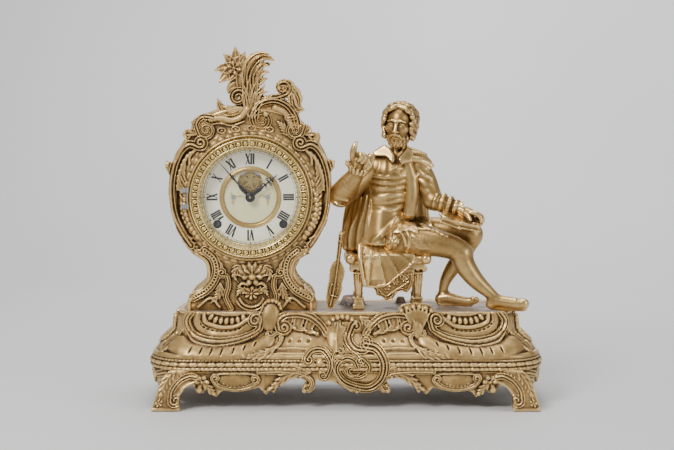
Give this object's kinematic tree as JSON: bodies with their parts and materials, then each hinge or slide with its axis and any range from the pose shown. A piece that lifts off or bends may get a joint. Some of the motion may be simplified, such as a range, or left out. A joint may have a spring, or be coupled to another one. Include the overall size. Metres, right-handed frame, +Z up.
{
  "type": "figural mantel clock",
  "caption": "Gilt mantel clock: hollow scroll-footed base, round dial case with hinged bezel, gear train and pendulum, and a seated figure on a stool.",
  "frame": {"origin": "under the middle of the clock on the surface it stands on", "axes": "+X to the figure's side, +Y to the rear, +Z up; the dial faces -Y"},
  "size_m": [0.444, 0.172, 0.396],
  "materials": {
    "gilt_paint": "satin",
    "figure_gilt": "satin",
    "gilt_brass": "polished",
    "movement_brass": "satin",
    "steel": "satin",
    "blued_steel": "satin",
    "dark_sheet": "satin",
    "enamel": "gloss",
    "glass": "clear"
  },
  "bodies": {
    "body": {"base_casting": "gilt_paint", "feet": "gilt_paint", "centre_rocaille": "gilt_paint", "case_front": "gilt_paint", "case_drum": "dark_sheet", "case_back_plate": "dark_sheet", "case_crest": "gilt_paint", "fixing_screws": "steel", "hinge_brackets": "steel", "dial_pan": "movement_brass", "dial_chapter_ring": "enamel", "dial_sight_ring": "gilt_brass", "dial_centre_disc": "enamel", "dial_centre_ring": "gilt_brass", "dial_screws": "steel", "movement_front_plate": "movement_brass", "movement_back_plate": "movement_brass", "movement_pillars": "steel", "time_mainspring": "steel", "strike_mainspring": "steel", "escapement_bridge": "movement_brass", "suspension_cock": "movement_brass", "gong_stand": "dark_sheet", "gong_coil": "steel", "stool_frame": "gilt_paint", "stool_cushion": "gilt_paint", "figure_torso": "figure_gilt", "figure_head": "figure_gilt", "figure_coat": "figure_gilt", "figure_right_arm": "figure_gilt", "figure_left_arm": "figure_gilt", "figure_near_leg": "figure_gilt", "figure_far_leg": "figure_gilt", "figure_book": "figure_gilt", "leaning_instrument": "gilt_paint"},
    "bezel": {"bezel_ring": "gilt_brass", "bezel_glass": "glass"},
    "rear_door": {"rear_door": "dark_sheet"},
    "minute_hand": {"minute_hand": "blued_steel", "cannon_pinion": "movement_brass", "hand_nut": "blued_steel"},
    "hour_hand": {"hour_hand": "blued_steel", "hour_wheel": "movement_brass"},
    "minute_wheel": {"minute_wheel": "movement_brass"},
    "time_great_wheel": {"time_great_wheel": "movement_brass"},
    "time_winding_arbor": {"time_winding_arbor": "steel"},
    "second_wheel": {"second_wheel": "movement_brass"},
    "centre_wheel": {"centre_wheel": "movement_brass"},
    "third_wheel": {"third_wheel": "movement_brass"},
    "escape_wheel": {"escape_wheel": "movement_brass"},
    "pallets": {"pallets": "steel"},
    "pendulum": {"pendulum_rod": "movement_brass", "pendulum_bob": "movement_brass"},
    "strike_great_wheel": {"strike_great_wheel": "movement_brass"},
    "strike_winding_arbor": {"strike_winding_arbor": "steel"},
    "strike_second_wheel": {"strike_second_wheel": "movement_brass"},
    "strike_hammer": {"strike_hammer": "steel"},
    "regulator_arbor": {"regulator_arbor": "blued_steel"},
    "regulator_screw": {"regulator_screw": "steel"},
    "suspension_chops": {"suspension_chops": "steel"}
  },
  "joints": [
    {"name": "bezel_swing", "type": "hinge", "parent": "body", "child": "bezel", "pos_m": [-0.1749, -0.0424, 0.2295], "axis": [0, 0, -1], "range_deg": [0, 110]},
    {"name": "rear_door_swing", "type": "hinge", "parent": "body", "child": "rear_door", "pos_m": [-0.172, 0.0477, 0.2295], "axis": [0, 0, 1], "range_deg": [0, 110]},
    {"name": "minute_hand_turn", "type": "hinge", "parent": "body", "child": "minute_hand", "pos_m": [-0.1065, 0, 0.2295], "axis": [0, 1, 0], "continuous": true},
    {"name": "hour_hand_turn", "type": "hinge", "parent": "body", "child": "hour_hand", "pos_m": [-0.1065, 0, 0.2295], "axis": [0, 1, 0], "continuous": true},
    {"name": "minute_wheel_turn", "type": "hinge", "parent": "body", "child": "minute_wheel", "pos_m": [-0.1161, 0, 0.2295], "axis": [0, 1, 0], "continuous": true},
    {"name": "third_wheel_turn", "type": "hinge", "parent": "body", "child": "third_wheel", "pos_m": [-0.0935, 0, 0.23964], "axis": [0, 1, 0], "continuous": true},
    {"name": "centre_wheel_turn", "type": "hinge", "parent": "body", "child": "centre_wheel", "pos_m": [-0.1065, 0, 0.2295], "axis": [0, 1, 0], "continuous": true},
    {"name": "second_wheel_turn", "type": "hinge", "parent": "body", "child": "second_wheel", "pos_m": [-0.08884, 0, 0.21813], "axis": [0, 1, 0], "continuous": true},
    {"name": "time_great_wheel_turn", "type": "hinge", "parent": "body", "child": "time_great_wheel", "pos_m": [-0.07, 0, 0.1995], "axis": [0, 1, 0], "continuous": true},
    {"name": "escape_wheel_turn", "type": "hinge", "parent": "body", "child": "escape_wheel", "pos_m": [-0.1065, 0, 0.2465], "axis": [0, 1, 0], "continuous": true},
    {"name": "time_winding_turn", "type": "hinge", "parent": "body", "child": "time_winding_arbor", "pos_m": [-0.07, 0, 0.1995], "axis": [0, 1, 0], "continuous": true},
    {"name": "pendulum_swing", "type": "hinge", "parent": "body", "child": "pendulum", "pos_m": [-0.1065, 0.031, 0.262], "axis": [0, 1, 0], "range_deg": [-3.2, 3.2]},
    {"name": "pallets_rock", "type": "hinge", "parent": "body", "child": "pallets", "pos_m": [-0.1065, 0, 0.262], "axis": [0, 1, 0], "range_deg": [-3.2, 3.2]},
    {"name": "strike_great_wheel_turn", "type": "hinge", "parent": "body", "child": "strike_great_wheel", "pos_m": [-0.143, 0, 0.1995], "axis": [0, 1, 0], "continuous": true},
    {"name": "strike_second_wheel_turn", "type": "hinge", "parent": "body", "child": "strike_second_wheel", "pos_m": [-0.12416, 0, 0.21813], "axis": [0, 1, 0], "continuous": true},
    {"name": "strike_winding_turn", "type": "hinge", "parent": "body", "child": "strike_winding_arbor", "pos_m": [-0.143, 0, 0.1995], "axis": [0, 1, 0], "continuous": true},
    {"name": "hammer_lift", "type": "hinge", "parent": "body", "child": "strike_hammer", "pos_m": [-0.1405, 0, 0.2595], "axis": [0, 1, 0], "range_deg": [0, 12]},
    {"name": "regulator_turn", "type": "hinge", "parent": "body", "child": "regulator_arbor", "pos_m": [-0.1065, 0, 0.2853], "axis": [0, 1, 0], "range_deg": [-360, 360]},
    {"name": "regulator_screw_turn", "type": "hinge", "parent": "body", "child": "regulator_screw", "pos_m": [-0.1065, 0.037, 0.2795], "axis": [0, 0, 1], "range_deg": [-360, 360]},
    {"name": "chops_slide", "type": "slide", "parent": "body", "child": "suspension_chops", "axis": [0, 0, 1], "range_m": [-0.0015, 0.0015]}
  ],
  "couplings": [
    {"joint": "hour_hand_turn", "follows": "minute_hand_turn", "ratio": 0.083333},
    {"joint": "minute_wheel_turn", "follows": "minute_hand_turn", "ratio": -0.33333},
    {"joint": "centre_wheel_turn", "follows": "third_wheel_turn", "ratio": -0.077778},
    {"joint": "second_wheel_turn", "follows": "third_wheel_turn", "ratio": 0.012963},
    {"joint": "time_great_wheel_turn", "follows": "third_wheel_turn", "ratio": -0.0046534},
    {"joint": "escape_wheel_turn", "follows": "third_wheel_turn", "ratio": -14},
    {"joint": "pallets_rock", "follows": "pendulum_swing", "ratio": 1},
    {"joint": "strike_second_wheel_turn", "follows": "strike_great_wheel_turn", "ratio": -2.7857},
    {"joint": "regulator_turn", "follows": "chops_slide", "rad_per_m": 4186.7},
    {"joint": "regulator_screw_turn", "follows": "chops_slide", "rad_per_m": -4186.7}
  ]
}
